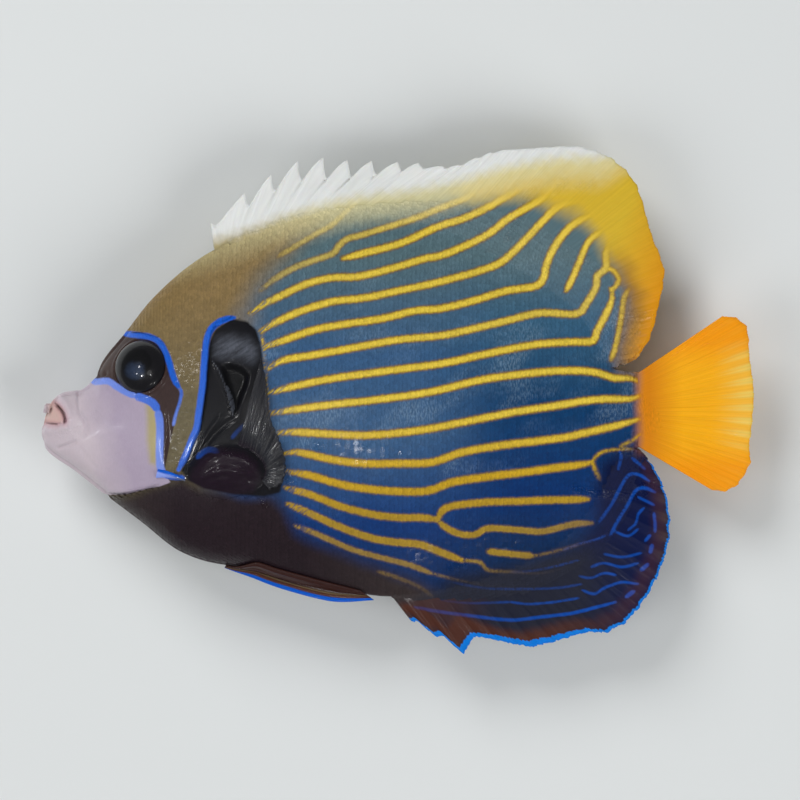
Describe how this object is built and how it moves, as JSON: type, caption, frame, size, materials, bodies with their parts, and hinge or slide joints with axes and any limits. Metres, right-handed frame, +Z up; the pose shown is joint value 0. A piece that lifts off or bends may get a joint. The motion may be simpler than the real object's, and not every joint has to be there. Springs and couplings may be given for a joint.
{
  "type": "emperor angelfish model",
  "caption": "Still, life-size emperor angelfish lying on its side: deep, flat, striped body with masked face, spiny back fin, rounded rear fins and fan tail.",
  "frame": {"origin": "on the floor under the middle of the bounding box of the fish, which lies on its right side", "axes": "+X from the snout to the tail, +Y from the belly to the back, +Z up, out of the fish's left side"},
  "size_m": [0.1502, 0.1072, 0.0264],
  "materials": {
    "skin": "wet scaled skin, deep blue with yellow stripes, olive nape, masked pale face",
    "eye": "wet black eye",
    "dorsal_fin": "wet membrane, white fringe in front, yellow behind",
    "anal_fin": "wet membrane, near black with blue lines and a bright blue edge",
    "tail_fin": "wet membrane, orange-yellow",
    "pectoral_fin": "wet grey membrane",
    "pelvic_fin": "wet rust-brown membrane with a blue front edge"
  },
  "bodies": {
    "root": {"head": "skin", "gill_cover_left": "skin", "gill_cover_right": "skin", "torso": "skin", "tail_stem": "skin", "eye_left": "eye", "eye_right": "eye", "dorsal_fin": "dorsal_fin", "anal_fin": "anal_fin", "tail_fin": "tail_fin", "pectoral_fin_left": "pectoral_fin", "pectoral_fin_right": "pectoral_fin", "pelvic_fin_left": "pelvic_fin", "pelvic_fin_right": "pelvic_fin"}
  },
  "joints": []
}
